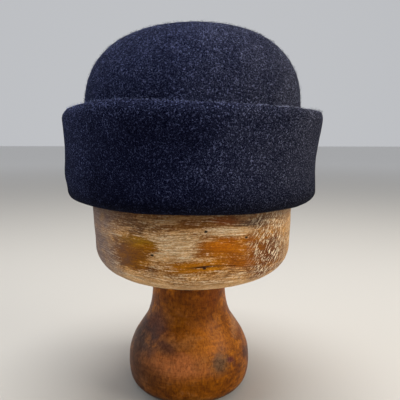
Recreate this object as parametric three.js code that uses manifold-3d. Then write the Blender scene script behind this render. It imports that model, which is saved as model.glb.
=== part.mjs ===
// A felt hat with a domed crown and a deep turned-up cuff, on an oval wooden block with a turned foot.
// Millimetres, +Z up, the hat's front towards -Y. The origin is on the surface under the middle of the hat.
import * as THREE from 'three';
import { mergeVertices } from 'three/addons/utils/BufferGeometryUtils.js';
import Module from 'manifold-3d';

// ---------------------------------------------------------------- driving sizes
const FELT = 2.6; // thickness of the felt
const GAP = 0.6; // clearance between the felt and the block, and round the peg
const SEAT_GAP = 0.4; // clearance between the block's underside and the foot

const CROWN = {
  halfWidth: 88.8, // outside, across the hat
  halfDepth: 103, // outside, front to back
  top: 304.4,
  domeStart: 217.3, // where the upright side begins to round over
  heightPower: 3.46, // higher keeps the side upright for longer
  widthPower: 2.3, // higher makes the top flatter
  baseShift: -0.5, // the crown's middle at the fold, along X
  lean: 3.9, // how far the top leans towards +X
};

const CUFF = {
  halfWidth: 102.3, // outside, at the waist
  halfDepth: 120.8,
  shift: -0.4, // the cuff's middle along X
  foldBottom: 168,
  foldTilt: 0.7, // the fold is this much lower at +X and higher at -X
};

// Height of the upper edge round the hat, evenly spaced from -X, by way of the front or the back, to +X.
const LIP_HEIGHTS = [237.2, 237.8, 239.3, 237.2, 235.6, 236.0, 236.4];

// How far the cuff swells outwards from its waist, evenly spaced from the fold, first, to the lip, last.
const CUFF_SWELL = [
  { left: -0.6, right: 0.5 },
  { left: 1.1, right: 0.1 },
  { left: 0.5, right: 0.0 },
  { left: 0.2, right: 1.2 },
  { left: 1.0, right: 3.2 },
  { left: 2.0, right: 4.4 },
];
const CURL = { start: 0.9, left: 3.4, right: 1.4 }; // the last of the cuff curls inwards by this much

const BLOCK = {
  bottom: 109.9,
  edgeRadius: 19.5, // the rounded lower edge
  lowerHalfWidth: 82.1,
  lowerHalfDepth: 97.6,
  lowerShift: 0.1, // the middle of its lower part along X
};

const PEG = { radius: 12, height: 40 }; // the foot's peg inside the block
const FOOT_AXIS_X = -3.1; // the foot stands a little off the hat's middle
const FOOT_EDGE = { radius: 13, contactRadius: 39.6 }; // the rounded edge round the underside

// The turned outline above the rounded edge, from the bulb up to the neck. The last row meets the block.
const FOOT_OUTLINE = [
  { radius: 52.9, z: 13 },
  { radius: 53.5, z: 21 },
  { radius: 52.7, z: 32 },
  { radius: 48.9, z: 43 },
  { radius: 42.9, z: 53 },
  { radius: 36.7, z: 63 },
  { radius: 33.3, z: 74 },
  { radius: 32.0, z: 85 },
  { radius: 31.6, z: 97 },
  { radius: 32.0, z: BLOCK.bottom - SEAT_GAP },
];

// Steps of the faceted surfaces.
const STEPS = { hatAround: 52, dome: 11, side: 3, fold: 6, cuff: 10, lip: 3, edge: 5 };
const WOOD_STEPS = { blockAround: 40, footAround: 32 };

const TAU = 2 * Math.PI;
const QUARTER = Math.PI / 2;
const mix = (a, b, t) => a + (b - a) * t;

// ---------------------------------------------------------------- shared helpers

/** A closed skin from rings of points, listed from the top pole to the bottom one, each counter-clockwise. */
function closedSkin(topPole, rings, bottomPole) {
  const around = rings[0].length;
  const points = [topPole, ...rings.flat(), bottomPole];
  const last = points.length - 1;
  const at = (ring, step) => 1 + ring * around + (step % around);
  const faces = [];
  for (let step = 0; step < around; step += 1) {
    faces.push(0, at(0, step), at(0, step + 1));
    for (let ring = 0; ring + 1 < rings.length; ring += 1) {
      faces.push(at(ring, step), at(ring + 1, step), at(ring + 1, step + 1));
      faces.push(at(ring, step), at(ring + 1, step + 1), at(ring, step + 1));
    }
    faces.push(at(rings.length - 1, step), last, at(rings.length - 1, step + 1));
  }
  const positions = points.flatMap((p) => [p.x, p.y, p.z]);
  const geometry = new THREE.BufferGeometry();
  geometry.setAttribute('position', new THREE.Float32BufferAttribute(positions, 3));
  geometry.setIndex(faces);
  return geometry;
}

/** One ring of points: makePoint gives the point at each angle. */
function ringOf(around, makePoint) {
  return Array.from({ length: around }, (_, step) => makePoint((TAU * step) / around));
}

/** The crown's sideways shift at a height: it grows with the cube of the height above the fold. */
function crownShift(z) {
  const rise = Math.max(0, (z - CUFF.foldBottom) / (CROWN.top - CUFF.foldBottom));
  return CROWN.baseShift + CROWN.lean * rise ** 3;
}

/**
 * A point on a dome of the crown's form, set inwards by inset. t runs from 0, the apex, to 1, the side.
 * Height and width are powers of the cosine and sine of one angle, which draws a superellipse.
 */
function domePoint(t, angle, inset) {
  const phi = t * QUARTER;
  const height = Math.cos(phi) ** (2 / CROWN.heightPower);
  const width = Math.sin(phi) ** (2 / CROWN.widthPower);
  const z = CROWN.domeStart + (CROWN.top - inset - CROWN.domeStart) * height;
  const x = (CROWN.halfWidth - inset) * width * Math.cos(angle) + crownShift(z);
  return new THREE.Vector3(x, (CROWN.halfDepth - inset) * width * Math.sin(angle), z);
}

// ---------------------------------------------------------------- the felt hat

const curveThrough = (values) => new THREE.SplineCurve(values.map((value, i) => new THREE.Vector2(i, value)));
const SWELL = {
  left: curveThrough(CUFF_SWELL.map((row) => row.left)),
  right: curveThrough(CUFF_SWELL.map((row) => row.right)),
};
const LIP_CURVE = curveThrough(LIP_HEIGHTS);

/** The height of the middle of the lip's felt: the angle from -X, either way round, reads the curve. */
function lipHeight(angle) {
  return LIP_CURVE.getPoint(1 - Math.acos(Math.cos(angle)) / Math.PI).y - FELT / 2;
}

/** The middle of the cuff's felt at a height, with rise 0 at the fold and 1 at the lip. */
function cuffPoint(rise, angle, z) {
  const toRight = THREE.MathUtils.smoothstep(Math.cos(angle), -1, 1);
  const curl = mix(CURL.left, CURL.right, toRight) * (Math.max(0, rise - CURL.start) / (1 - CURL.start)) ** 2;
  const swell = mix(SWELL.left.getPoint(rise).y, SWELL.right.getPoint(rise).y, toRight) - curl - FELT / 2;
  const x = (CUFF.halfWidth + swell) * Math.cos(angle) + CUFF.shift;
  return new THREE.Vector3(x, (CUFF.halfDepth + swell) * Math.sin(angle), z);
}

/** The middle of the upright side of the crown at a height. */
function sidePoint(angle, z) {
  const x = (CROWN.halfWidth - FELT / 2) * Math.cos(angle) + crownShift(z);
  return new THREE.Vector3(x, (CROWN.halfDepth - FELT / 2) * Math.sin(angle), z);
}

/** The fold, half a circle between the side and the cuff: its radius and its centre's height at an angle. */
function foldAt(angle) {
  const radius = sidePoint(angle, 0).distanceTo(cuffPoint(0, angle, 0)) / 2;
  const bottom = CUFF.foldBottom - CUFF.foldTilt * Math.cos(angle);
  return { radius, centre: bottom + FELT / 2 + radius };
}

// The middle line of the felt in four stretches from the apex to the lip, each with t from 0 to 1.
const FELT_RUNS = {
  dome: (t, angle) => domePoint(t, angle, FELT / 2),
  side: (t, angle) => sidePoint(angle, mix(CROWN.domeStart, foldAt(angle).centre, t)),
  fold: (t, angle) => {
    const { radius, centre } = foldAt(angle);
    const across = (1 - Math.cos(Math.PI * t)) / 2;
    const z = centre - radius * Math.sin(Math.PI * t);
    return sidePoint(angle, z).lerp(cuffPoint(0, angle, z), across);
  },
  cuff: (t, angle) => cuffPoint(t, angle, mix(foldAt(angle).centre, lipHeight(angle), t)),
};

/** The felt's middle point, its unit normal, which points out of the crown, and its direction to the lip. */
function feltFrame(run, t, angle) {
  const step = 1e-4;
  const line = FELT_RUNS[run];
  const onward = line(Math.min(t + step, 1), angle).sub(line(Math.max(t - step, 0), angle)).normalize();
  const around = line(t, angle + step).sub(line(t, angle - step)).normalize();
  const normal = new THREE.Vector3().crossVectors(onward, around).normalize();
  return { point: line(t, angle), normal, onward };
}

/** One felt body: the outer face from the apex to the lip, the rounded lip, and the inner face back. */
function feltHat() {
  const stations = [];
  for (const run of ['dome', 'side', 'fold', 'cuff']) {
    const crowding = run === 'cuff' ? 1.5 : 1; // stations crowd towards the curled lip
    for (let i = 1; i <= STEPS[run]; i += 1) {
      stations.push({ run, t: 1 - (1 - i / STEPS[run]) ** crowding });
    }
  }
  const face = ({ run, t }, side) =>
    ringOf(STEPS.hatAround, (angle) => {
      const { point, normal } = feltFrame(run, t, angle);
      return point.addScaledVector(normal, (side * FELT) / 2);
    });
  const lip = (turn) =>
    ringOf(STEPS.hatAround, (angle) => {
      const { point, normal, onward } = feltFrame('cuff', 1, angle);
      point.addScaledVector(normal, (Math.cos(turn) * FELT) / 2);
      return point.addScaledVector(onward, (Math.sin(turn) * FELT) / 2);
    });
  const rings = stations.map((station) => face(station, 1));
  for (let i = 1; i <= STEPS.lip; i += 1) {
    rings.push(lip((Math.PI * i) / (STEPS.lip + 1)));
  }
  rings.push(...stations.reverse().map((station) => face(station, -1)));
  return closedSkin(domePoint(0, 0, 0), rings, domePoint(0, 0, FELT));
}

// ---------------------------------------------------------------- the wooden block

/** One oval section of the block, set inwards by inset. The side narrows evenly towards the lower edge. */
function blockRing(z, inset) {
  const under = FELT + GAP;
  const sideStart = BLOCK.bottom + BLOCK.edgeRadius;
  const rise = Math.max(0, (z - sideStart) / (CROWN.domeStart - sideStart));
  const halfWidth = mix(BLOCK.lowerHalfWidth, CROWN.halfWidth - under, rise) - inset;
  const halfDepth = mix(BLOCK.lowerHalfDepth, CROWN.halfDepth - under, rise) - inset;
  const shift = mix(BLOCK.lowerShift, crownShift(CROWN.domeStart), rise);
  return ringOf(WOOD_STEPS.blockAround, (angle) => {
    const x = halfWidth * Math.cos(angle) + shift;
    return new THREE.Vector3(x, halfDepth * Math.sin(angle), z);
  });
}

/** The block: the crown's dome set inwards, upright sides, a rounded lower edge and a flat underside. */
function hatBlock() {
  const rings = [];
  for (let i = 1; i < STEPS.dome; i += 1) {
    rings.push(ringOf(WOOD_STEPS.blockAround, (angle) => domePoint(i / STEPS.dome, angle, FELT + GAP)));
  }
  const sideStart = BLOCK.bottom + BLOCK.edgeRadius;
  for (let i = 0; i < STEPS.side; i += 1) {
    rings.push(blockRing(mix(CROWN.domeStart, sideStart, i / STEPS.side), 0));
  }
  for (let i = 0; i <= STEPS.edge; i += 1) {
    const turn = (QUARTER * i) / STEPS.edge;
    const inset = BLOCK.edgeRadius * (1 - Math.cos(turn));
    rings.push(blockRing(sideStart - BLOCK.edgeRadius * Math.sin(turn), inset));
  }
  const underside = new THREE.Vector3(BLOCK.lowerShift, 0, BLOCK.bottom);
  return closedSkin(domePoint(0, 0, FELT + GAP), rings, underside);
}

// ---------------------------------------------------------------- the turned foot

/** A surface turned about the foot's axis. Its outline of radius and height starts and ends on the axis. */
function turned(outline) {
  const profile = outline.map(([radius, z]) => new THREE.Vector2(radius, z));
  const geometry = new THREE.LatheGeometry(profile, WOOD_STEPS.footAround);
  geometry.rotateX(QUARTER);
  geometry.translate(FOOT_AXIS_X, 0, 0);
  return geometry;
}

/** The foot: a flat underside, a rounded edge, the bulb and neck, and the peg that goes up into the block. */
function standFoot() {
  const outline = [[0, 0]];
  for (let i = 0; i < STEPS.edge; i += 1) {
    const turn = (QUARTER * i) / STEPS.edge;
    outline.push([
      FOOT_EDGE.contactRadius + FOOT_EDGE.radius * Math.sin(turn),
      FOOT_EDGE.radius * (1 - Math.cos(turn)),
    ]);
  }
  const curve = new THREE.SplineCurve(FOOT_OUTLINE.map((row) => new THREE.Vector2(row.radius, row.z)));
  const steps = 2 * (FOOT_OUTLINE.length - 1);
  outline.push(...curve.getPoints(steps).map((p) => [p.x, p.y]));
  const seat = BLOCK.bottom - SEAT_GAP;
  outline.push([PEG.radius, seat], [PEG.radius, seat + PEG.height], [0, seat + PEG.height]);
  return turned(outline);
}

/** The blind socket for the peg: it starts below the block, so that cutting it opens the underside. */
function pegSocket() {
  const radius = PEG.radius + GAP;
  const top = BLOCK.bottom - SEAT_GAP + PEG.height + GAP;
  return turned([[0, BLOCK.bottom - 10], [radius, BLOCK.bottom - 10], [radius, top], [0, top]]);
}

// ---------------------------------------------------------------- cutting and assembly

const wasm = await Module();
wasm.setup();

/** A closed geometry as a manifold solid, with its shared vertices merged. */
function solidOf(geometry) {
  const bare = geometry.clone();
  bare.deleteAttribute('normal');
  bare.deleteAttribute('uv');
  const merged = mergeVertices(bare);
  return new wasm.Manifold(
    new wasm.Mesh({
      numProp: 3,
      vertProperties: new Float32Array(merged.attributes.position.array),
      triVerts: new Uint32Array(merged.index.array),
    }),
  );
}

/** The first geometry with the second cut out of it. */
function cut(geometry, tool) {
  const mesh = solidOf(geometry).subtract(solidOf(tool)).getMesh();
  const result = new THREE.BufferGeometry();
  result.setAttribute('position', new THREE.BufferAttribute(mesh.vertProperties, 3));
  result.setIndex(new THREE.BufferAttribute(mesh.triVerts, 1));
  return result;
}

const darkFelt = new THREE.MeshStandardMaterial({ color: 0x24262e, roughness: 0.95, metalness: 0 });
const wornWood = new THREE.MeshStandardMaterial({ color: 0xa58563, roughness: 0.6, metalness: 0 });
const varnishedWood = new THREE.MeshStandardMaterial({ color: 0x7a431c, roughness: 0.35, metalness: 0 });

/** A named mesh with flat-shaded normals. */
function piece(name, geometry, material) {
  const mesh = new THREE.Mesh(geometry, material);
  mesh.geometry.computeVertexNormals();
  mesh.name = name;
  return mesh;
}

const hat = new THREE.Group();
hat.add(piece('felt_hat', feltHat(), darkFelt));
hat.add(piece('hat_block', cut(hatBlock(), pegSocket()), wornWood));
hat.add(piece('stand_foot', standFoot(), varnishedWood));

export default hat;
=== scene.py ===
"""A cuffed felt hat on a worn wooden block with a turned, varnished foot.

The sizes are those of the CAD model. The felt, the block and the foot are made again here with a
finer surface, and each gets the finish of its own material. Shapes are worked out in millimetres
and put into the meshes in metres. +Z is up, and the hat's front looks along -Y.
"""
import math

import bpy
import numpy as np
from mathutils import Matrix, Vector


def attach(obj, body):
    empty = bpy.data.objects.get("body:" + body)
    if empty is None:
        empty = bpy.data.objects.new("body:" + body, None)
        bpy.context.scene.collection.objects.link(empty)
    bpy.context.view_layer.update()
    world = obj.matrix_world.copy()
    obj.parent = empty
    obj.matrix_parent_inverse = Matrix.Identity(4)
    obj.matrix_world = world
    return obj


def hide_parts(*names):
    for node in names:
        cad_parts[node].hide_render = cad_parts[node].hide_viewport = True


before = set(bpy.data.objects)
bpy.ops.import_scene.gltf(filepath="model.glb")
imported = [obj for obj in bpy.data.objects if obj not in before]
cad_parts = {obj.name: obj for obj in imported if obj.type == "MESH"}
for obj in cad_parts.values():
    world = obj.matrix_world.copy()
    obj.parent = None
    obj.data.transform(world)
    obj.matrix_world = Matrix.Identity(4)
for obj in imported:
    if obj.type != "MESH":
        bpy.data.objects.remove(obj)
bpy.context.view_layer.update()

MM = 0.001
TAU = 2 * math.pi

# ---------------------------------------------------------------- sizes, in millimetres

FELT = 2.6  # thickness of the felt
GAP = 0.6  # clearance between the felt and the block
SEAT_GAP = 0.4  # clearance between the block and the foot

CROWN_HALF_WIDTH = 88.8
CROWN_HALF_DEPTH = 103.0
CROWN_TOP = 304.4
CROWN_BASE_SHIFT = -0.5  # sideways shift at the fold
CROWN_LEAN = 3.9  # how much further the top is shifted
DOME_START = 217.3
HEIGHT_POWER = 3.46  # powers of the superellipse that the dome's outline follows
WIDTH_POWER = 2.3

CUFF_HALF_WIDTH = 102.3
CUFF_HALF_DEPTH = 120.8
CUFF_SHIFT = -0.4
FOLD_BOTTOM = 168.0
FOLD_TILT = 0.7  # the fold is this much lower at +X and higher at -X
# Height of the upper edge round the hat, evenly spaced from -X, by way of the front or the
# back, to +X.
LIP_HEIGHTS = (237.2, 237.8, 239.3, 237.2, 235.6, 236.0, 236.4)
# How far the cuff swells outwards from its waist, evenly spaced from the fold to the lip.
CUFF_SWELL_LEFT = (-0.6, 1.1, 0.5, 0.2, 1.0, 2.0)
CUFF_SWELL_RIGHT = (0.5, 0.1, 0.0, 1.2, 3.2, 4.4)
# Above this share of its height the cuff curls inwards, by up to this much on each side.
CURL_START = 0.9
CURL_LEFT = 3.4
CURL_RIGHT = 1.4

BLOCK_BOTTOM = 109.9
BLOCK_EDGE = 19.5  # radius of the rounded lower edge
BLOCK_SIDE_START = BLOCK_BOTTOM + BLOCK_EDGE
BLOCK_LOWER_HALF_WIDTH = 82.1
BLOCK_LOWER_HALF_DEPTH = 97.6
BLOCK_LOWER_SHIFT = 0.1

FOOT_AXIS_X = -3.1
FOOT_EDGE = 13.0  # radius of the rounded lower edge
FOOT_CONTACT = 39.6  # radius of the flat underside
FOOT_TOP = BLOCK_BOTTOM - SEAT_GAP
# The turned outline from the bulb up to the neck: radius and height.
FOOT_OUTLINE = (
    (52.9, 13.0),
    (53.5, 21.0),
    (52.7, 32.0),
    (48.9, 43.0),
    (42.9, 53.0),
    (36.7, 63.0),
    (33.3, 74.0),
    (32.0, 85.0),
    (31.6, 97.0),
    (32.0, FOOT_TOP),
)

# How a surface waves in and out: rows of depth, wavelength, number of waves and seed. The rows
# of the knocks are for a depth of 1, and the block and the foot have a depth each.
HAND_BLOCKING = ((0.35, 90, 10, 3), (0.12, 28, 16, 4), (0.06, 9, 24, 5))
KNOCKS = ((1.0, 55, 10, 11), (0.4, 16, 20, 12), (0.15, 6, 24, 13))
BLOCK_KNOCKS = 0.16
FOOT_KNOCKS = 0.14
WAVE_SPREAD = (0.7, 1.5)  # shortest and longest wave as shares of the wavelength

# How finely the meshes are divided.
FELT_RUNS = (("dome", 62), ("side", 10), ("fold", 18), ("cuff", 34))
FELT_AROUND = 260
LIP_STEPS = 9
BLOCK_AROUND = 320
BLOCK_DOME_STEPS = 30
BLOCK_SIDE_RINGS = 60
BLOCK_EDGE_STEPS = 26
BLOCK_FLOOR_STEPS = 12
BLOCK_FLOOR_INNERMOST = 0.15  # size of the underside's innermost ring as a share of its edge
FOOT_AROUND = 220
FOOT_RINGS = 110
FOOT_EDGE_STEPS = 18


# ---------------------------------------------------------------- mesh helpers


def ripple(points, wavelength, waves, seed):
    """Soft unevenness between about -1 and 1: the mean of plane sine waves with seeded random
    directions and phases, whose lengths spread round the given wavelength, scaled up by the
    square root of their number."""
    rng = np.random.default_rng(seed)
    directions = rng.normal(size=(waves, 3))
    directions /= np.linalg.norm(directions, axis=1, keepdims=True)
    lengths = wavelength * rng.uniform(*WAVE_SPREAD, waves)
    phases = rng.uniform(0, TAU, waves)
    total = np.zeros(points.shape[:-1])
    for direction, length, phase in zip(directions, lengths, phases):
        total += np.sin(points @ direction * TAU / length + phase)
    return total / math.sqrt(waves)


def unevenness(points, rows):
    """Ripples of several lengths, each times its depth, added up."""
    return sum(depth * ripple(points, *waves) for depth, *waves in rows)


def through(values, t):
    """A smooth curve through evenly spaced values, read at t from 0 to 1: a Catmull-Rom spline."""
    padded = np.concatenate([[values[0]], values, [values[-1]]])
    place = np.clip(t, 0, 1) * (len(values) - 1)
    index = np.minimum(place.astype(int), len(values) - 2)
    f = place - index
    a, b, c, d = (padded[index + k] for k in range(4))
    square = (2 * a - 5 * b + 4 * c - d) * f**2
    cube = (3 * b - a - 3 * c + d) * f**3
    return 0.5 * (2 * b + (c - a) * f + square + cube)


def unit(vectors):
    """Vectors divided by their lengths."""
    return vectors / np.linalg.norm(vectors, axis=-1, keepdims=True)


def stacked(x, y, z):
    """Points from three coordinates, each of which may be a number, a row or a whole grid."""
    return np.stack(np.broadcast_arrays(x, y, z), -1)


def mesh_piece(name, points, faces):
    """A smooth mesh object at the origin from points in millimetres and quads or triangles."""
    mesh = bpy.data.meshes.new(name)
    mesh.from_pydata((points * MM).tolist(), [], faces)
    mesh.polygons.foreach_set("use_smooth", np.full(len(mesh.polygons), True))
    mesh.update()
    piece = bpy.data.objects.new(name, mesh)
    bpy.context.scene.collection.objects.link(piece)
    return piece


def closed_skin(name, rings, first_pole, last_pole):
    """A closed skin over a grid of rings by steps, ended by a pole at each end.

    Each ring runs counter-clockwise from above, and the first ones run down the outside. That
    points all faces outwards, also where later rings run up an inner face.
    """
    count, around = rings.shape[:2]
    points = np.concatenate([rings.reshape(-1, 3), [first_pole, last_pole]])
    step = np.arange(around)
    after = (step + 1) % around
    row = np.arange(count - 1)[:, None] * around
    corners = (row + step, row + around + step, row + around + after, row + after)
    faces = np.stack(corners, -1).reshape(-1, 4).tolist()
    first = np.full(around, count * around)
    end = (count - 1) * around
    faces += np.stack([first, step, after], -1).tolist()
    faces += np.stack([end + step, first + 1, end + after], -1).tolist()
    return mesh_piece(name, points, faces)


# ---------------------------------------------------------------- the felt hat


def crown_shift(z):
    """The crown's sideways shift: it grows with the cube of the height above the fold."""
    rise = np.clip((z - FOLD_BOTTOM) / (CROWN_TOP - FOLD_BOTTOM), 0, None)
    return CROWN_BASE_SHIFT + CROWN_LEAN * rise**3


def dome_points(t, angle, inset):
    """The dome, set inwards: a superellipse whose height and width are powers of the cosine and
    sine of one angle, t quarter turns, carried round an ellipse."""
    phi = t * math.pi / 2
    height = np.cos(phi).clip(0) ** (2 / HEIGHT_POWER)
    width = np.sin(phi) ** (2 / WIDTH_POWER)
    z = DOME_START + (CROWN_TOP - inset - DOME_START) * height
    x = (CROWN_HALF_WIDTH - inset) * width * np.cos(angle) + crown_shift(z)
    y = (CROWN_HALF_DEPTH - inset) * width * np.sin(angle)
    return stacked(x, y, z)


def side_points(angle, z):
    """The middle of the felt on the upright side of the crown: an ellipse at each height."""
    x = (CROWN_HALF_WIDTH - FELT / 2) * np.cos(angle) + crown_shift(z)
    y = (CROWN_HALF_DEPTH - FELT / 2) * np.sin(angle)
    return stacked(x, y, z)


def cuff_points(rise, angle, z):
    """The middle of the felt on the cuff: an ellipse at each height, swollen by a smooth mix of
    its left and right outlines and drawn in by the square of the way into the curl."""
    to_right = (np.cos(angle) + 1) / 2
    to_right = to_right**2 * (3 - 2 * to_right)
    left = through(np.array(CUFF_SWELL_LEFT), rise)
    right = through(np.array(CUFF_SWELL_RIGHT), rise)
    curl = (np.clip(rise - CURL_START, 0, None) / (1 - CURL_START)) ** 2
    swell = left + (right - left) * to_right - FELT / 2
    swell = swell - curl * (CURL_LEFT + (CURL_RIGHT - CURL_LEFT) * to_right)
    x = (CUFF_HALF_WIDTH + swell) * np.cos(angle) + CUFF_SHIFT
    y = (CUFF_HALF_DEPTH + swell) * np.sin(angle)
    return stacked(x, y, z)


def lip_height(angle):
    """The height of the middle of the lip's felt: the curve of heights, read at the share of the
    half turn from -X to +X, either way round."""
    return through(np.array(LIP_HEIGHTS), 1 - np.arccos(np.cos(angle)) / math.pi) - FELT / 2


def fold_of(angle):
    """The fold's radius, half the way from the side to the cuff, and its centre's height."""
    level = np.zeros_like(angle)
    gap = side_points(angle, level) - cuff_points(level, angle, level)
    radius = np.linalg.norm(gap, axis=-1) / 2
    return radius, FOLD_BOTTOM - FOLD_TILT * np.cos(angle) + FELT / 2 + radius


def felt_line(run, t, angle):
    """The middle line of the felt on one run, with t from 0 to 1 towards the lip. The fold is
    half a circle: its height is a sine and its way across from the side to the cuff a cosine."""
    radius, centre = fold_of(angle)
    if run == "dome":
        return dome_points(t, angle, FELT / 2)
    if run == "side":
        return side_points(angle, DOME_START + (centre - DOME_START) * t)
    if run == "fold":
        z = centre - radius * np.sin(math.pi * t)
        across = ((1 - np.cos(math.pi * t)) / 2)[..., None]
        cuff = cuff_points(np.zeros_like(t), angle, z)
        return side_points(angle, z) * (1 - across) + cuff * across
    return cuff_points(t, angle, centre + (lip_height(angle) - centre) * t)


def felt_frame(run, t, angle):
    """Points of the middle line with the unit normal out of the crown and the unit direction
    towards the lip, both from differences over a small step."""
    step = 1e-4
    ahead = felt_line(run, np.minimum(t + step, 1), angle)
    behind = felt_line(run, np.maximum(t - step, 0), angle)
    onward = unit(ahead - behind)
    around = felt_line(run, t, angle + step) - felt_line(run, t, angle - step)
    return felt_line(run, t, angle), unit(np.cross(onward, around)), onward


def blocked_by_hand(middle, normal):
    """Points of the middle line, moved in and out as blocking by hand leaves them."""
    return middle + normal * unevenness(middle, HAND_BLOCKING)[..., None]


def felt_hat():
    """The hat as one felt skin: the outer face from the apex to the lip, a half-round lip, and
    the inner face back, each half the felt's thickness from the middle line."""
    angle = np.linspace(0, TAU, FELT_AROUND, endpoint=False)
    frames = []
    for run, steps in FELT_RUNS:
        t = np.arange(1, steps + 1) / steps
        frames.append(felt_frame(run, *np.meshgrid(t, angle, indexing="ij")))
    middle, normal, onward = (np.concatenate(part) for part in zip(*frames))
    middle = blocked_by_hand(middle, normal)
    outer = middle + normal * FELT / 2
    inner = middle - normal * FELT / 2
    turn = (np.arange(1, LIP_STEPS + 1) / (LIP_STEPS + 1) * math.pi)[:, None, None]
    lip = middle[-1] + (normal[-1] * np.cos(turn) + onward[-1] * np.sin(turn)) * FELT / 2
    rings = np.concatenate([outer, lip, inner[::-1]])
    top = outer[0].mean(0)
    return closed_skin("felt_hat_body", rings, top, top - [0, 0, FELT])


def outer_face(run, t, angle):
    """Points of the felt's outer face with its outward normal and the direction towards the lip.
    On the rounded lip the frame of the cuff's end is turned over by t half turns."""
    if run == "lip":
        middle, normal, onward = felt_frame("cuff", np.ones_like(t), angle)
    else:
        middle, normal, onward = felt_frame(run, t, angle)
    middle = blocked_by_hand(middle, normal)
    if run == "lip":
        sine, cosine = np.sin(t * math.pi)[:, None], np.cos(t * math.pi)[:, None]
        normal, onward = normal * cosine + onward * sine, onward * cosine - normal * sine
    return middle + normal * FELT / 2, normal, onward


FIBRE_LENGTHS = (1.3, 3.8)
FIBRE_RADII = (0.03, 0.065)
FIBRE_BEND = 1.6  # how far a fibre's heading usually turns, in radians
FIBRE_POINTS = 3  # rings of corners along a fibre, between its two pointed ends
FIBRE_CORNERS = 3
LEAST_LIFT = 0.1
LIFT_POWER = 2.4  # the higher, the fewer fibres stand up
ENDS_SUNK = 0.05  # how deep a fibre's ends lie in the felt
DOME_SPREAD = 0.55  # power that spreads the fibres evenly over the round top
FIBRE_SETS = (
    # name, count, seed, greatest lift, runs: (run, share of the fibres, lowest t, highest t)
    ("felt_fibres_crown", 11000, 21, 1.5, (("dome", 0.92, 0.0, 1.0), ("side", 0.08, 0.0, 0.3))),
    ("felt_fibres_cuff", 11000, 22, 1.3, (("cuff", 0.86, 0.0, 1.0), ("fold", 0.14, 0.45, 1.0))),
    ("felt_fibres_lip", 6000, 23, 1.0, (("cuff", 0.4, 0.94, 1.0), ("lip", 0.6, 0.0, 0.7))),
)


def fibre_faces(count):
    """Faces of one three-sided tube with a point at both ends, repeated for every fibre: quads
    between the rings of corners and triangles at the tips."""
    size = FIBRE_POINTS * FIBRE_CORNERS + 2
    corners = np.arange(FIBRE_CORNERS)
    after = (corners + 1) % FIBRE_CORNERS
    rows = 1 + np.arange(FIBRE_POINTS - 1)[:, None] * FIBRE_CORNERS
    above = rows + FIBRE_CORNERS
    quads = np.stack([rows + corners, rows + after, above + after, above + corners], -1)
    last_row = size - 1 - FIBRE_CORNERS
    first_tip = np.stack([np.zeros_like(corners), after + 1, corners + 1], -1)
    last_tip = np.stack([last_row + corners, last_row + after, np.full_like(corners, size - 1)], -1)
    start = (np.arange(count) * size)[:, None, None]
    faces = (quads.reshape(-1, 4) + start).reshape(-1, 4).tolist()
    return faces + (np.concatenate([first_tip, last_tip]) + start).reshape(-1, 3).tolist()


def felt_fibres(name, count, seed, greatest_lift, runs):
    """Fine wool fibres that lie on the felt in curls.

    A fibre starts at a random place on the outer face. Its heading turns steadily, so that it
    draws an arc in the tangent plane, and its height above the felt is half a sine wave, low on
    most fibres and higher on a few. It is a three-sided tube with a point at both ends.
    """
    rng = np.random.default_rng(seed)
    angle = rng.uniform(0, TAU, count)
    edges = np.round(np.cumsum([0] + [share for _, share, _, _ in runs]) * count).astype(int)
    parts = []
    for (run, _, low, high), first, last in zip(runs, edges, edges[1:]):
        power = DOME_SPREAD if run == "dome" else 1.0
        t_run = low + (high - low) * rng.uniform(0, 1, last - first) ** power
        parts.append(outer_face(run, t_run, angle[first:last]))
    base, normal, onward = (np.concatenate(part)[:, None] for part in zip(*parts))
    across = np.cross(normal, onward)
    length = rng.uniform(*FIBRE_LENGTHS, count)
    heading = rng.uniform(0, TAU, count)
    bend = rng.normal(0, FIBRE_BEND, count)
    lift = LEAST_LIFT + (greatest_lift - LEAST_LIFT) * rng.uniform(0, 1, count) ** LIFT_POWER
    radius = rng.uniform(*FIBRE_RADII, count)
    share = np.linspace(0, 1, FIBRE_POINTS + 2)
    turn = heading[:, None] + bend[:, None] * share
    step = length[:, None] / (FIBRE_POINTS + 1)
    start = np.zeros((count, 1))
    along = np.concatenate([start, np.cumsum(np.cos(turn[:, :-1]) * step, 1)], 1)[..., None]
    aside = np.concatenate([start, np.cumsum(np.sin(turn[:, :-1]) * step, 1)], 1)[..., None]
    height = (lift[:, None] * np.sin(math.pi * share) - ENDS_SUNK)[..., None]
    line = base + along * onward + aside * across + height * normal
    direction = np.cos(turn)[..., None] * onward + np.sin(turn)[..., None] * across
    side = np.cross(np.broadcast_to(normal, direction.shape), direction)
    corner = (np.arange(FIBRE_CORNERS) * TAU / FIBRE_CORNERS)[:, None]
    section = np.cos(corner) * side[:, 1:-1, None] + np.sin(corner) * normal[:, :, None]
    tube = line[:, 1:-1, None] + section * radius[:, None, None, None]
    points = np.concatenate([line[:, :1], tube.reshape(count, -1, 3), line[:, -1:]], 1)
    return mesh_piece(name, points.reshape(-1, 3), fibre_faces(count))


# ---------------------------------------------------------------- the block and foot


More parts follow.
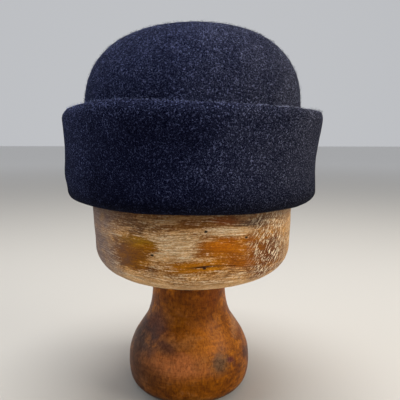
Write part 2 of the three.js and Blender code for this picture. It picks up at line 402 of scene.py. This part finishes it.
def block_rings(z, inset, angle):
    """Oval sections of the block, set inwards: the side narrows evenly from the dome's start
    down to the rounded edge, and so does its shift."""
    rise = np.clip((z - BLOCK_SIDE_START) / (DOME_START - BLOCK_SIDE_START), 0, None)
    upper_half_width = CROWN_HALF_WIDTH - FELT - GAP
    upper_half_depth = CROWN_HALF_DEPTH - FELT - GAP
    upper_shift = crown_shift(np.array(DOME_START))
    half_width = BLOCK_LOWER_HALF_WIDTH + (upper_half_width - BLOCK_LOWER_HALF_WIDTH) * rise
    half_depth = BLOCK_LOWER_HALF_DEPTH + (upper_half_depth - BLOCK_LOWER_HALF_DEPTH) * rise
    shift = BLOCK_LOWER_SHIFT + (upper_shift - BLOCK_LOWER_SHIFT) * rise
    x = (half_width - inset) * np.cos(angle) + shift
    return stacked(x, (half_depth - inset) * np.sin(angle), z)


def knocked(points, amount):
    """Points of a wooden surface moved a little away from or towards the upright axis, as
    handling and sanding leave it."""
    outwards = points * [1, 1, 0]
    outwards = outwards / np.linalg.norm(outwards, axis=-1, keepdims=True).clip(1)
    return points + outwards * (amount * unevenness(points, KNOCKS))[..., None]


def hat_block():
    """The block: the crown's dome set in, upright sides, a quarter-round lower edge and a flat
    underside of shrinking rings."""
    angle = np.linspace(0, TAU, BLOCK_AROUND, endpoint=False)[None, :]
    dome_t = (np.arange(1, BLOCK_DOME_STEPS) / BLOCK_DOME_STEPS)[:, None]
    dome = dome_points(dome_t, angle, FELT + GAP)
    side_z = np.linspace(DOME_START, BLOCK_SIDE_START, BLOCK_SIDE_RINGS)[:, None]
    side = block_rings(side_z, 0, angle)
    turn = np.linspace(0, math.pi / 2, BLOCK_EDGE_STEPS)[1:, None]
    edge_z = BLOCK_SIDE_START - BLOCK_EDGE * np.sin(turn)
    edge = block_rings(edge_z, BLOCK_EDGE * (1 - np.cos(turn)), angle)
    floor_scale = np.linspace(1, BLOCK_FLOOR_INNERMOST, BLOCK_FLOOR_STEPS)[1:, None, None]
    centre = np.array([BLOCK_LOWER_SHIFT, 0, BLOCK_BOTTOM])
    underside = centre + (edge[-1] - centre) * floor_scale
    sides = knocked(np.concatenate([side, edge]), BLOCK_KNOCKS)
    apex = [crown_shift(np.array(CROWN_TOP)), 0, CROWN_TOP - FELT - GAP]
    return closed_skin("hat_block_wood", np.concatenate([dome, sides, underside]), apex, centre)


def foot_outline():
    """The foot's radius and height from the top of the neck down to the contact: a smooth curve
    through the outline's points, then a quarter circle."""
    t = np.linspace(0, 1, FOOT_RINGS)
    radius, z = (through(np.array(column), t) for column in zip(*FOOT_OUTLINE))
    turn = np.linspace(0, math.pi / 2, FOOT_EDGE_STEPS)[:-1]
    edge_radius = FOOT_CONTACT + FOOT_EDGE * np.sin(turn)
    edge_z = FOOT_EDGE * (1 - np.cos(turn))
    radius = np.concatenate([edge_radius, radius])[::-1, None]
    return radius, np.concatenate([edge_z, z])[::-1, None]


def stand_foot():
    """The turned foot: its outline carried round the foot's axis, with a flat top and underside."""
    angle = np.linspace(0, TAU, FOOT_AROUND, endpoint=False)
    radius, z = foot_outline()
    rings = stacked(radius * np.cos(angle) + FOOT_AXIS_X, radius * np.sin(angle), z)
    top, bottom = [FOOT_AXIS_X, 0, FOOT_TOP], [FOOT_AXIS_X, 0, 0]
    return closed_skin("stand_foot_wood", knocked(rings, FOOT_KNOCKS), top, bottom)


# ---------------------------------------------------------------- finishes: tools


class Wire:
    """A node's output. Arithmetic on wires adds Math nodes, so that a mask is written as an
    expression."""

    def __init__(self, tree, socket):
        self.tree = tree
        self.socket = socket

    def math(self, operation, *values):
        return self.tree.node("ShaderNodeMath", {"operation": operation}, dict(enumerate(values)))

    def __add__(self, other):
        return self.math("ADD", self, other)

    def __sub__(self, other):
        return self.math("SUBTRACT", self, other)

    def __rsub__(self, other):
        return self.math("SUBTRACT", other, self)

    def __mul__(self, other):
        return self.math("MULTIPLY", self, other)

    def __abs__(self):
        return self.math("ABSOLUTE", self)

    __radd__ = __add__
    __rmul__ = __mul__


class Tree:
    """A node tree, of a material or of the world, that is filled by one method."""

    def __init__(self, node_tree):
        self.nodes = node_tree.nodes
        self.links = node_tree.links

    def node(self, kind, settings=None, inputs=None, output=0):
        """A node of a kind, with its settings first and then the values or wires of its sockets."""
        node = self.nodes.new(kind)
        for key, value in (settings or {}).items():
            if key == "stops":
                self.fill_ramp(node.color_ramp, value)
            else:
                setattr(node, key, value)
        self.feed(node, inputs or {})
        return Wire(self, node.outputs[output])

    def feed(self, node, inputs):
        """Gives a node's sockets, by name or number, a value or a wire each."""
        for key, value in inputs.items():
            if isinstance(value, Wire):
                self.links.new(value.socket, node.inputs[key])
            else:
                node.inputs[key].default_value = value

    @staticmethod
    def fill_ramp(ramp, stops):
        while len(ramp.elements) < len(stops):
            ramp.elements.new(0.5)
        for element, (position, colour) in zip(ramp.elements, stops):
            element.position = position
            element.color = colour


class Finish(Tree):
    """A material built from nodes, on Object coordinates in metres. Its methods take places and
    sizes in millimetres."""

    def __init__(self, name):
        self.material = bpy.data.materials.new(name)
        self.material.use_nodes = True
        super().__init__(self.material.node_tree)
        self.shader = self.nodes["Principled BSDF"]
        self.place = self.node("ShaderNodeTexCoord", output="Object")

    def stretched(self, size, turn=(0, 0, 0), centre=(0, 0, 0)):
        """Object coordinates in a frame at a centre, turned by degrees about X, Y and Z and
        divided by a size, so that a pattern of unit size gets that size."""
        inputs = {
            "Vector": self.place,
            "Location": tuple(value * MM for value in centre),
            "Rotation": tuple(math.radians(value) for value in turn),
            "Scale": tuple(value * MM for value in size),
        }
        return self.node("ShaderNodeMapping", {"vector_type": "TEXTURE"}, inputs)

    def noise(self, vector, scale, detail, roughness, distortion=0.0):
        inputs = {"Vector": vector, "Scale": scale, "Detail": detail}
        inputs.update({"Roughness": roughness, "Distortion": distortion})
        return self.node("ShaderNodeTexNoise", None, inputs)

    def grain(self, size, detail, roughness, distortion=0.0, turn=(0, 0, 0)):
        """A noise whose patches have a size along X, Y and Z in a turned frame."""
        return self.noise(self.stretched(size, turn), 1, detail, roughness, distortion)

    def warp(self, size, amount):
        """Bends every pattern that is made after it up and down by a broad noise, by up to half
        the amount."""
        offset = (self.grain(size, 0, 0.5) - 0.5) * (amount * MM)
        lift = self.node("ShaderNodeCombineXYZ", None, {"Z": offset})
        add = {"operation": "ADD"}
        self.place = self.node("ShaderNodeVectorMath", add, {0: self.place, 1: lift})

    def smooth(self, value, low, high):
        """0 below low, 1 above high, with a soft step between. With low above high it runs the
        other way."""
        settings = {"interpolation_type": "SMOOTHSTEP"}
        if low < high:
            return self.node("ShaderNodeMapRange", settings, {0: value, 1: low, 2: high})
        return 1 - self.node("ShaderNodeMapRange", settings, {0: value, 1: high, 2: low})

    def axis(self, name):
        return self.node("ShaderNodeSeparateXYZ", None, {0: self.place}, output=name)

    def along(self, name, low, high, ragged=None, amount=0):
        """A soft step between two places on an axis, moved to and fro by a noise times an
        amount."""
        place = self.axis(name)
        if ragged is not None:
            place = place + ragged * (amount * MM)
        return self.smooth(place, low * MM, high * MM)

    def hairlines(self, noise, width, core):
        """Thin winding lines where a noise is near its middle: full inside the core and gone
        outside the width."""
        return self.smooth(abs(noise - 0.5), width, core)

    def spot(self, centre, size, ragged, soft):
        """A spot, 1 inside and 0 outside: the distance from its centre in units of its size, made
        ragged by a noise, with a soft rim that takes up a share of it."""
        distance = self.length(self.stretched(size, centre=centre))
        return self.smooth(distance + ragged, 1.0 + soft / 2, 1.0 - soft / 2)

    def length(self, vector):
        """The length of a vector, such as the distance of a place from the origin in metres."""
        settings = {"operation": "LENGTH"}
        return self.node("ShaderNodeVectorMath", settings, {0: vector}, output="Value")

    def blend(self, factor, first, second, mode="MIX"):
        settings = {"data_type": "RGBA", "blend_type": mode}
        inputs = {0: factor, 6: first, 7: second}
        return self.node("ShaderNodeMix", settings, inputs, output=2)

    def multiply(self, first, second):
        return self.blend(1.0, first, second, "MULTIPLY")

    def ramp(self, value, *stops):
        return self.node("ShaderNodeValToRGB", {"stops": stops}, {0: value})

    def bump(self, height, strength, distance):
        inputs = {"Height": height, "Strength": strength, "Distance": distance * MM}
        self.feed(self.shader, {"Normal": self.node("ShaderNodeBump", None, inputs)})

    def set(self, **sockets):
        """Gives the shader's sockets, with underlines for spaces, a value or a wire each."""
        self.feed(self.shader, {name.replace("_", " "): sockets[name] for name in sockets})


def srgb(red, green, blue):
    """A colour given in display values from 0 to 255, as the linear values that shaders use."""
    values = np.array([red, green, blue]) / 255
    curve = ((values + 0.055) / 1.055) ** 2.4
    linear = np.where(values <= 0.04045, values / 12.92, curve)
    return (*linear.tolist(), 1.0)


# ---------------------------------------------------------------- the finishes


def felt_finish():
    """Thick wool felt: dark blue at the left and charcoal at the right, with paler curling fibres
    through it. The change from left to right is partly the wool's colour and partly painted light
    of the right-hand window. The fibres show most on the crown, partly for its finer fuzz and
    partly as painted light from above, and at the cuff's edge, as a painted highlight over real
    fibres. They show less on an area of the front, partly as painted shade, and least at the
    fold, where painted shade makes the felt darkest."""
    felt = Finish("wool_felt")
    # The crown gets more pale fibres: partly its finer fuzz, partly painted light from above.
    crown = felt.along("Z", 236, 250)
    top = felt.along("Z", 270, 300)
    # A painted highlight along the cuff's edge, over the real fibres there.
    edge = felt.along("Z", 226, 237) - crown
    # Painted shade: fewer pale fibres low on the fold, and a near-black ground under it.
    painted_fold_shade = felt.along("Z", 200, 165)
    under = felt.along("Z", 184, 170)
    curl = felt.hairlines(felt.noise(felt.place, 960, 3, 0.62, 0.7), 0.054, 0.012)
    fine_curl = felt.hairlines(felt.noise(felt.place, 1550, 2, 0.65, 0.8), 0.06, 0.008)
    breaks = felt.noise(felt.place, 860, 2, 0.5) + (crown - 1) * 0.008
    fine_share = felt.smooth(breaks, 0.54, 0.4) * (crown * 0.1 + 0.32)
    fibres = curl * felt.smooth(breaks, 0.49, 0.59) + fine_curl * fine_share
    clouds = felt.noise(felt.place, 34, 4, 0.62)
    # An area of the front with fewer pale fibres: partly the felt, partly painted shade.
    navy_shaded_front = felt.spot((-36, -112, 204), (44, 60, 27), (clouds - 0.5) * 1.6, 1.4)
    # Dark blue at the left, charcoal at the right: partly the wool, partly painted window light.
    across = felt.along("X", -20, 100, clouds - 0.5, 60)
    shade = felt.ramp(clouds, (0.3, (0.7, 0.7, 0.73, 1)), (0.7, (1.24, 1.24, 1.22, 1)))
    ground = felt.multiply(felt.blend(across, srgb(0, 1, 22), srgb(4, 6, 22)), shade)
    # Painted shade: the ground goes nearly black under the fold.
    ground = felt.blend(under * 0.7, ground, srgb(0, 0, 4))
    pale = felt.multiply(felt.blend(across, srgb(116, 126, 176), srgb(152, 154, 177)), shade)
    # Pale fibres: more on the crown and cuff's edge, partly painted light; fewer at the fold and
    # front, painted shade.
    cover = 0.71 + crown * 0.12 + edge * 0.3 - top * 0.1
    cover = cover - painted_fold_shade * 0.32 - under * 0.18 - navy_shaded_front * 0.32
    felt.set(Base_Color=felt.blend(fibres * cover, ground, pale), Roughness=0.95)
    felt.set(Specular_IOR_Level=0.02)
    felt.set(Sheen_Weight=0.015, Sheen_Roughness=0.5, Sheen_Tint=srgb(150, 158, 190))
    felt.bump(fibres * 0.6 + felt.noise(felt.place, 900, 3, 0.7), 0.6, 0.5)
    return felt.material


def fibre_finish(name, paler):
    """Single wool fibres on the felt: grey-blue, some paler and some nearly as dark as the felt.
    A noise picks which. Fewer are pale at the fold, as painted shade, and more at the left, by the
    share given, as a painted highlight where the lip catches the light. From left to right they go
    from blue to grey, partly their own colour and partly painted light of the right-hand window."""
    wool = Finish(name)
    change = wool.noise(wool.place, 240, 2, 0.5)
    across = wool.along("X", -20, 100)
    # Painted shade: fewer pale fibres low on the fold.
    low = wool.along("Z", 184, 170)
    # Blue at the left, grey at the right: partly the wool, partly painted window light.
    pale = wool.blend(across, srgb(140, 152, 200), srgb(186, 189, 208))
    dark = wool.blend(across, srgb(14, 20, 54), srgb(34, 37, 58))
    # The share given adds pale fibres at the left: a painted highlight where the lip catches light.
    share = wool.smooth(change + (1 - across) * paler - low * 0.12, 0.48, 0.67)
    wool.set(Base_Color=wool.blend(share, dark, pale), Roughness=0.8, Specular_IOR_Level=0.2)
    return wool.material


# Patches of the block's front: place and half size in millimetres, and the colour of the varnish
# there. Bare is how much of the paint is worn away, or less than 0 where more of it is left. The
# first rows lie underneath.
WORN_PATCHES = (
    # name, (x, y, z), (half width, depth, half height), colour, bare
    ("pale_right", (58, -72, 158), (26, 50, 8), (160, 112, 62), -0.4),
    ("pale_middle", (-12, -97, 145), (22, 45, 9), (150, 104, 54), -0.6),
    ("brown_left", (-37, -88, 158), (12, 45, 5), (122, 80, 36), 0.45),
    ("brown_middle", (-4, -98, 158.5), (14, 45, 3.2), (140, 84, 26), 0.5),
    ("red_top", (22, -95, 162), (9, 40, 2.6), (158, 80, 12), 0.8),
    ("grey_smudge", (42, -87, 160), (11, 30, 4.5), (96, 68, 48), 0.6),
    ("olive_left", (-38, -87, 146), (12, 45, 4.2), (168, 118, 2), 1.3),
    ("gold_left", (-31, -90, 142.5), (7, 40, 3.2), (160, 98, 0), 1.2),
    ("amber_left", (-43, -83, 135), (10, 45, 8.5), (144, 86, 0), 1.7),
    ("red_end", (50, -72, 135), (18, 50, 13), (118, 62, 0), 0.8),
    ("tan_edge", (80, -26, 146), (15, 46, 24), (172, 124, 62), -0.5),
    ("orange_right", (23, -94, 142), (18, 45, 7.5), (182, 104, 0), 0.95),
    ("gold_right", (18, -95, 144.5), (9, 40, 3.5), (194, 108, 0), 1.0),
    ("orange_band", (5, -97, 130), (20, 45, 3.2), (206, 128, 4), 0.8),
    ("brown_band", (29, -92, 131.5), (13, 45, 4), (168, 94, 0), 0.8),
    ("dark_line", (10, -97, 129.5), (12, 45, 0.8), (84, 40, 8), 0.7),
    ("cream_right", (25, -94, 154), (15, 45, 2.6), (150, 104, 54), -0.9),
)
PATCH_SOFTNESS = 1.6
NAIL_HOLES = ((8, -98, 154), (36, -89, 149), (-28, -92, 138), (7, -97, 128.5))
NAIL_HOLE_SIZE = (0.85 * 1.3, 5, 0.85)
CRAZED_PLACE = (24, -93, 126)
CRAZED_SIZE = (8, 30, 3.5)


def worn_wood_finish():
    """The block: varnished wood whose grain runs across the hat, under a thin pale film that has
    worn off in patches and is left thickest along the grain. The end grain at the right carries
    slanting flecks of it, and the left is greyed."""
    wood = Finish("worn_wood")
    wood.warp((44, 44, 26), 9)
    long = wood.grain((30, 30, 3.8), 3, 0.6, 0.6, turn=(0, 1.5, 0))
    streak = wood.grain((7.5, 7.5, 0.9), 4, 0.66, 0.6, turn=(0, -1, 0))
    fine_lines = wood.grain((20, 20, 0.6), 3, 0.6, 0.5, turn=(0, 2, 0))
    grit = wood.grain((1.6, 1.6, 0.85), 4, 0.7, 0.3)
    broad = wood.grain((17, 17, 9), 3, 0.6, 0.5)
    ragged = (long - 0.5) * 1.0 + (streak - 0.5) * 1.3 + (broad - 0.5) * 1.2

    # The varnish, with its patches, in broad lights and in fine lines.
    varnish = wood.ramp(
        streak * 0.4 + broad * 0.6,
        (0.38, srgb(110, 64, 10)),
        (0.5, srgb(156, 96, 18)),
        (0.62, srgb(190, 126, 34)),
    )
    bare = 0.0
    for _, centre, size, colour, amount in WORN_PATCHES:
        patch = wood.spot(centre, size, ragged, PATCH_SOFTNESS)
        varnish = wood.blend(patch, varnish, srgb(*colour))
        bare = bare + patch * (amount - bare)
    glow = wood.ramp(
        broad * 0.6 + streak * 0.4,
        (0.4, (0.8, 0.75, 0.7, 1)),
        (0.6, (1.2, 1.26, 1.3, 1)),
    )
    tone = wood.ramp(
        fine_lines * 0.5 + grit * 0.5,
        (0.4, (0.6, 0.54, 0.5, 1)),
        (0.6, (1.2, 1.22, 1.25, 1)),
    )
    varnish = wood.multiply(wood.multiply(varnish, glow), tone)

    # The ends of the grain show at the sides, where the paint is left in short slanting flecks.
    right_end = wood.along("X", 33, 50, ragged, 8)
    left_end = wood.along("X", -50, -66, ragged, 8)
    far_right = wood.along("X", 60, 74)
    front = wood.along("Y", 0, -45, ragged, 10)
    flecks = wood.grain((4.2, 1.5, 0.9), 3, 0.62, 0.25, turn=(0, -50, 48))
    right_flecks = wood.smooth(flecks, 0.54, 0.58) * right_end
    fleck = right_flecks * (front * 0.65 + 0.35) * (1 - far_right * 0.5)
    fleck = fleck + wood.smooth(flecks, 0.62, 0.66) * left_end * 0.6

    # The film and, where it is thick, the paint.
    low_band = wood.along("Z", 125, 117, long - 0.5, 12)
    worn = bare * 0.9 + right_end * 0.6 - left_end * 0.3 - low_band * 0.3
    film_left = streak * 0.25 + long * 0.35 + grit * 0.4 - worn * 0.16
    film = wood.smooth(film_left, 0.41, 0.57)
    paint_left = streak * 0.2 + fine_lines * 0.5 + grit * 0.3 - worn * 0.06
    thick = wood.smooth(paint_left, 0.515, 0.6) * (1 - (right_end + left_end) * 0.6)
    thick = thick + fleck * (1 - thick)
    film_colour = wood.ramp(
        streak * 0.5 + broad * 0.5,
        (0.38, srgb(194, 142, 86)),
        (0.62, srgb(255, 206, 146)),
    )
    grey = wood.along("X", -30, -76, broad - 0.5, 50)
    varnish = wood.blend(grey * 0.65, varnish, srgb(98, 80, 78))
    film_colour = wood.blend(grey * 0.9, film_colour, srgb(120, 104, 104))
    paint = wood.blend(grey * 0.75, srgb(255, 236, 200), srgb(176, 158, 150))
    colour = wood.blend(film * 0.7, varnish, film_colour)
    colour = wood.blend(thick * 0.78 + fleck * 0.14, colour, paint)

    # Scratches, crazing, a cream rim below, painted shadow of the hat, and the nail holes.
    scratches = wood.hairlines(wood.grain((14, 14, 0.9), 3, 0.6, turn=(0, 3, 0)), 0.016, 0.003)
    craze = wood.hairlines(wood.grain((1.5, 1.5, 1.2), 2, 0.5, 0.8), 0.03, 0.008)
    craze = craze * wood.spot(CRAZED_PLACE, CRAZED_SIZE, ragged, 0.8)
    colour = wood.blend(scratches * 0.5 + craze * 0.8, colour, srgb(62, 36, 20))
    low_rim = wood.along("Z", 119, 114, broad - 0.5, 6) * (1 - grey)
    colour = wood.blend(low_rim * 0.35, colour, srgb(232, 190, 136))
    # Painted shadow of the hat on the block's top, partly the wood's darker colour there.
    painted_hat_shadow = wood.along("Z", 152, 167, broad - 0.5, 12)
    colour = wood.blend(painted_hat_shadow * 0.66, colour, srgb(60, 38, 26))
    holes = 0.0
    for hole in NAIL_HOLES:
        holes = holes + wood.spot(hole, NAIL_HOLE_SIZE, (grit - 0.5) * 1.2, 0.8)
    colour = wood.blend(holes * 0.95, colour, srgb(34, 20, 12))
    wood.set(Base_Color=colour, Roughness=0.46 + film * 0.2, Specular_IOR_Level=0.1)
    wood.bump(thick * 0.6 + grit * 0.5 - scratches * 0.3 - holes * 2, 0.5, 0.5)
    return wood.material


# Stains and lighter places on the foot, some of them painted highlights, a painted reflection and
# painted shade: place and half size in millimetres, colour and strength.
FOOT_MARKS = (
    # name, (x, y, z), (half width, depth, half height), colour, strength
    ("amber_neck", (-2, -32, 82), (38, 26, 25), (118, 62, 0), 0.85),
    # Partly red varnish, partly painted shadow of the block on the neck's top.
    ("red_neck", (-5, -32, 103), (20, 20, 9), (66, 18, 0), 0.85),
    ("red_neck_right", (16, -28, 92), (10, 18, 14), (124, 60, 0), 0.7),
    ("olive_neck", (-16, -29, 70), (13, 18, 10), (128, 74, 0), 0.6),
    ("plum_shoulder", (-32, -20, 62), (10, 25, 14), (88, 52, 40), 0.75),
    # A painted highlight on the front of the bulb.
    ("painted_highlight_face", (14, -42, 50), (18, 24, 12), (192, 114, 26), 0.75),
    ("brown_middle", (-16, -44, 50), (18, 24, 6), (112, 64, 26), 0.5),
    # A pinkish painted highlight on the bulb's front.
    ("pink_painted_highlight", (-11, -50, 35), (28, 25, 10), (190, 114, 62), 0.8),
    ("grey_left", (-44, -26, 46), (12, 24, 9), (62, 52, 48), 0.85),
    ("dark_middle", (-21, -42, 48), (8, 15, 5), (72, 46, 36), 0.7),
    ("grey_right", (22, -46, 35), (8, 14, 7), (96, 78, 56), 0.8),
    ("violet_dot", (31, -38, 36), (2.5, 10, 2), (96, 38, 40), 0.7),
    ("amber_low", (4, -52, 20), (26, 22, 8), (144, 80, 0), 0.7),
    ("olive_low", (-38, -36, 22), (15, 24, 11), (94, 52, 14), 0.75),
    ("brown_edge", (-50, -16, 27), (10, 30, 20), (78, 42, 18), 0.75),
    # A painted reflection of the window on the right shoulder.
    ("painted_window_reflection", (36, -14, 57), (3.5, 20, 8), (176, 128, 84), 0.6),
)
MARK_SOFTNESS = 1.5


def varnished_wood_finish():
    """The foot: turned wood under old red-brown varnish, clouded and stained, dulled at the left
    and with painted shade where it meets the floor and under the block, painted highlights on its
    front and a painted reflection of a window at the right, and with upright grain and faint
    turning lines."""
    wood = Finish("varnished_wood")
    mottle = wood.grain((17, 17, 13), 3, 0.55, 0.6)
    middle = wood.grain((5, 5, 4.2), 4, 0.62, 0.6)
    fine = wood.grain((1.5, 1.5, 3.8), 3, 0.62, 0.4)
    turning = wood.grain((30, 30, 1.3), 3, 0.6, 0.3)
    ragged = (mottle - 0.5) * 2.2 + (middle - 0.5) * 1.2
    colour = wood.ramp(
        mottle * 0.75 + middle * 0.25,
        (0.38, srgb(84, 36, 0)),
        (0.5, srgb(140, 76, 0)),
        (0.62, srgb(184, 110, 16)),
    )
    for _, centre, size, mark, strength in FOOT_MARKS:
        mask = wood.spot(centre, size, ragged, MARK_SOFTNESS)
        colour = wood.blend(mask * strength, colour, srgb(*mark))
    film = wood.smooth(middle * 0.4 + mottle * 0.6 - wood.axis("X") * 1.6, 0.5, 0.64)
    colour = wood.blend(film * wood.along("Z", 85, 60) * 0.4, colour, srgb(96, 68, 56))
    tone = wood.ramp(
        fine * 0.5 + middle * 0.3 + turning * 0.2,
        (0.4, (0.56, 0.5, 0.48, 1)),
        (0.6, (1.28, 1.3, 1.34, 1)),
    )
    colour = wood.multiply(colour, tone)
    specks = wood.smooth(wood.grain((1.7, 1.7, 2.1), 2, 0.5), 0.64, 0.7)
    crack = wood.hairlines(wood.grain((1.7, 1.7, 24), 3, 0.6, 0.3), 0.016, 0.003)
    crack = crack * wood.smooth(mottle, 0.47, 0.56)
    colour = wood.blend(specks * 0.35 + crack * 0.3, colour, srgb(44, 20, 8))
    # Painted shade where the foot meets the floor.
    colour = wood.blend(wood.along("Z", 13, 1) * 0.8, colour, srgb(26, 12, 6))
    wood.set(Base_Color=colour, Roughness=0.34 + mottle * 0.2, Specular_IOR_Level=0.09)
    wood.set(Coat_Weight=0.04, Coat_Roughness=0.28)
    wood.bump(mottle * 0.5 + fine * 0.3 + turning * 0.2 - crack * 0.5, 0.25, 0.8)
    return wood.material


# ---------------------------------------------------------------- putting together


def add_piece(piece, slot, material, *nodes):
    """A finished piece that rides with the whole hat, and the CAD nodes that it stands for."""
    piece.data.materials.append(material)
    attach(piece, "root")
    if nodes:
        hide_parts(*nodes)


add_piece(felt_hat(), "felt", felt_finish(), "felt_hat")
WOOL_FIBRE = fibre_finish("wool_fibre", 0.0)
# The lip's fibres get a painted highlight: more of them are pale at the left.
LIP_WOOL_FIBRE_PAINTED_HIGHLIGHT = fibre_finish("lip_wool_fibre_painted_highlight", 0.17)
for fibre_set, fibre in zip(FIBRE_SETS, (WOOL_FIBRE, WOOL_FIBRE, LIP_WOOL_FIBRE_PAINTED_HIGHLIGHT)):
    add_piece(felt_fibres(*fibre_set), "felt", fibre)
add_piece(hat_block(), "worn_wood", worn_wood_finish(), "hat_block")
add_piece(stand_foot(), "varnished_wood", varnished_wood_finish(), "stand_foot")


# ---------------------------------------------------------------- floor, light and view, in metres

FLOOR_HALF = 14.0
FLOOR_NEAR = 0.6  # distances from the origin at which the floor starts to get paler and is palest
FLOOR_FAR = 4.0
SKY_COLOUR = (0.88, 0.9, 0.94, 1)
SKY_FRONT = 0.24  # strength of the sky in front of the hat, and behind it
SKY_BEHIND = 0.6
HAT_MIDDLE = (0, 0, 0.18)
LIGHTS = (
    # name, place, aim, size, power in watts, colour
    ("right_window", (1.1, -0.45, 0.65), HAT_MIDDLE, 0.7, 8, (1.0, 0.94, 0.86)),
    ("left_window", (-1.1, -0.15, 0.6), HAT_MIDDLE, 0.8, 3, (0.84, 0.91, 1.0)),
    ("top_window", (0.05, 0.15, 1.25), HAT_MIDDLE, 0.7, 12, (1.0, 0.99, 0.98)),
    ("front_fill", (0.65, -2.1, 0.85), (0, 0, 0.08), 1.0, 4.7, (1.0, 0.95, 0.86)),
)
CAMERA_PLACE = (-0.00389, -0.3875, 0.2151)
CAMERA_LENS = 40.5  # millimetres, on a sensor 36 millimetres wide
CAMERA_SENSOR = 36
CAMERA_PITCH = math.radians(7.654)
CAMERA_YAW = math.radians(1.563)
CAMERA_ROLL = math.radians(0.085)


def pale_floor():
    """A plain pale square floor, far wider than the part, that gets paler with the distance:
    painted light that makes up for the lamps' falloff far away.
    """
    mesh = bpy.data.meshes.new("floor")
    half = FLOOR_HALF
    corners = [(-half, -half, 0), (half, -half, 0), (half, half, 0), (-half, half, 0)]
    mesh.from_pydata(corners, [], [(0, 1, 2, 3)])
    floor = bpy.data.objects.new("floor", mesh)
    bpy.context.scene.collection.objects.link(floor)
    paint = Finish("floor_paint")
    distant = paint.smooth(paint.length(paint.place), FLOOR_NEAR, FLOOR_FAR)
    colour = paint.blend(distant, srgb(204, 200, 193), srgb(255, 254, 252))
    paint.set(Base_Color=colour, Roughness=0.9, Specular_IOR_Level=0.1)
    mesh.materials.append(paint.material)


def soft_light(name, place, aim, size, power, colour):
    """A square area light at a place, turned to a point."""
    light = bpy.data.lights.new(name, "AREA")
    light.size = size
    light.energy = power
    light.color = colour
    lamp = bpy.data.objects.new(name, light)
    lamp.location = place
    lamp.rotation_euler = (Vector(aim) - Vector(place)).to_track_quat("-Z", "Y").to_euler()
    bpy.context.scene.collection.objects.link(lamp)


def studio():
    """Daylight all round that is brighter behind the hat, soft windows at the right, above and at
    the left, and a weak fill from the front."""
    world = bpy.data.worlds.new("daylight")
    world.use_nodes = True
    sky = Tree(world.node_tree)
    direction = sky.node("ShaderNodeTexCoord", output="Generated")
    backwards = sky.node("ShaderNodeSeparateXYZ", None, {0: direction}, output="Y")
    fade = {0: backwards, 1: -1, 2: 1, 3: SKY_FRONT, 4: SKY_BEHIND}
    strength = sky.node("ShaderNodeMapRange", None, fade)
    sky.feed(sky.nodes["Background"], {"Color": SKY_COLOUR, "Strength": strength})
    bpy.context.scene.world = world
    bpy.context.scene.view_settings.view_transform = "Standard"
    for light in LIGHTS:
        soft_light(*light)


def camera():
    """A camera in front, a little above the cuff's middle, looking slightly down."""
    data = bpy.data.cameras.new("camera")
    data.sensor_width = CAMERA_SENSOR
    data.lens = CAMERA_LENS
    view = bpy.data.objects.new("camera", data)
    upright = Matrix.Rotation(math.pi / 2 - CAMERA_PITCH, 4, "X")
    turn = Matrix.Rotation(-CAMERA_YAW, 4, "Z") @ upright @ Matrix.Rotation(CAMERA_ROLL, 4, "Z")
    view.matrix_world = Matrix.Translation(CAMERA_PLACE) @ turn
    bpy.context.scene.collection.objects.link(view)
    bpy.context.scene.camera = view


pale_floor()
studio()
camera()
